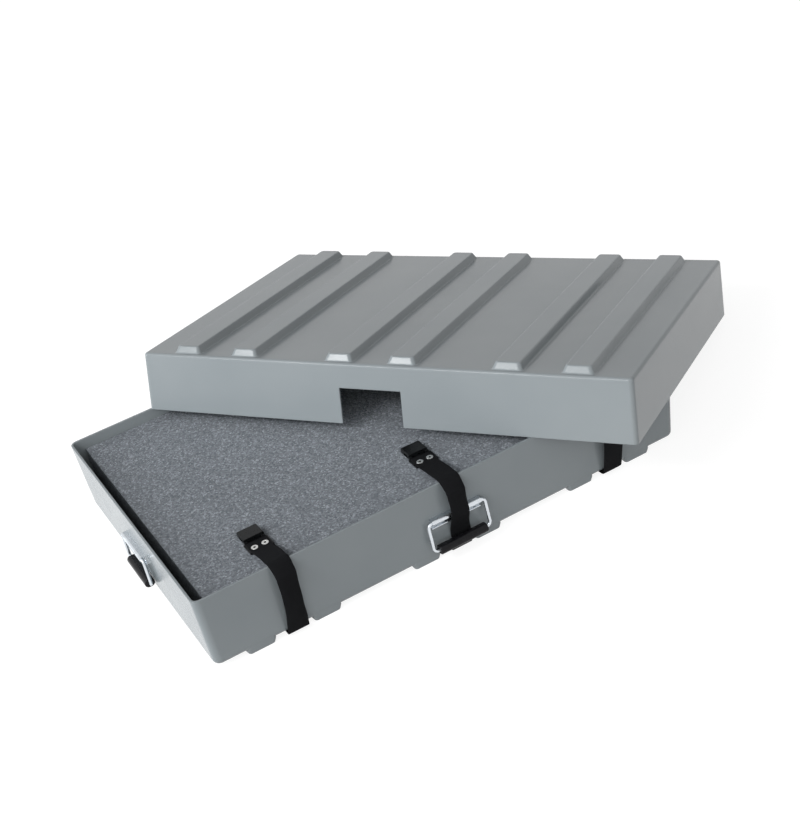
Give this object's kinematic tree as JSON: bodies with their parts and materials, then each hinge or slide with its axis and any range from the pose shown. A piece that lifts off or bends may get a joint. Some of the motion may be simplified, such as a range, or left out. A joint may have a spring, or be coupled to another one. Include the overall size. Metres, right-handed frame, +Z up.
{
  "type": "transport case",
  "caption": "Shallow two-part transport case: foam-filled ribbed tray, lift-off telescoping lid, webbing straps with side-release buckles, hanging wire handles.",
  "frame": {"origin": "middle of the footprint of the whole object at rest, on the floor under the skids", "axes": "+Z up, +X along the tray's long side away from its end handle, +Y from the front handle to the back"},
  "size_m": [1.2418, 1.1166, 0.2676],
  "materials": {
    "shell": "grained satin grey polyethylene",
    "foam": "open-cell charcoal foam, speckled",
    "webbing": "flat woven black webbing",
    "buckle": "satin black moulded acetal",
    "eyelet": "nickel plated",
    "zinc_plate": "bright zinc-plated sheet steel",
    "zinc_wire": "bright zinc-plated steel wire",
    "grip": "satin black moulded plastic"
  },
  "bodies": {
    "tray": {"tray_shell": "shell", "foam_block": "foam", "strap_left": "webbing", "strap_middle": "webbing", "strap_right": "webbing", "buckle_female_left": "buckle", "buckle_female_middle": "buckle", "buckle_female_right": "buckle", "buckle_male_left": "buckle", "buckle_male_middle": "buckle", "buckle_male_right": "buckle", "buckle_eyelets_left": "eyelet", "buckle_eyelets_middle": "eyelet", "buckle_eyelets_right": "eyelet", "strap_rivets": "eyelet", "strap_washers": "eyelet", "handle_front_bracket": "zinc_plate", "handle_front_backing": "zinc_plate", "handle_front_rivets": "zinc_plate", "handle_end_bracket": "zinc_plate", "handle_end_backing": "zinc_plate", "handle_end_rivets": "zinc_plate"},
    "lid": {"lid_shell": "shell"},
    "front_bail": {"handle_front_bail": "zinc_wire", "handle_front_grip": "grip"},
    "end_bail": {"handle_end_bail": "zinc_wire", "handle_end_grip": "grip"}
  },
  "joints": [
    {"name": "lid_lift", "type": "slide", "parent": "tray", "child": "lid", "axis": [0, 0, 1], "range_m": [0, 0.25]},
    {"name": "front_handle_swing", "type": "hinge", "parent": "tray", "child": "front_bail", "pos_m": [-0.14695, -0.4247, 0.08267], "axis": [-1, 0, 0], "range_deg": [0, 84]},
    {"name": "end_handle_swing", "type": "hinge", "parent": "tray", "child": "end_bail", "pos_m": [-0.61169, -0.11496, 0.08267], "axis": [0, 1, 0], "range_deg": [0, 90]}
  ]
}
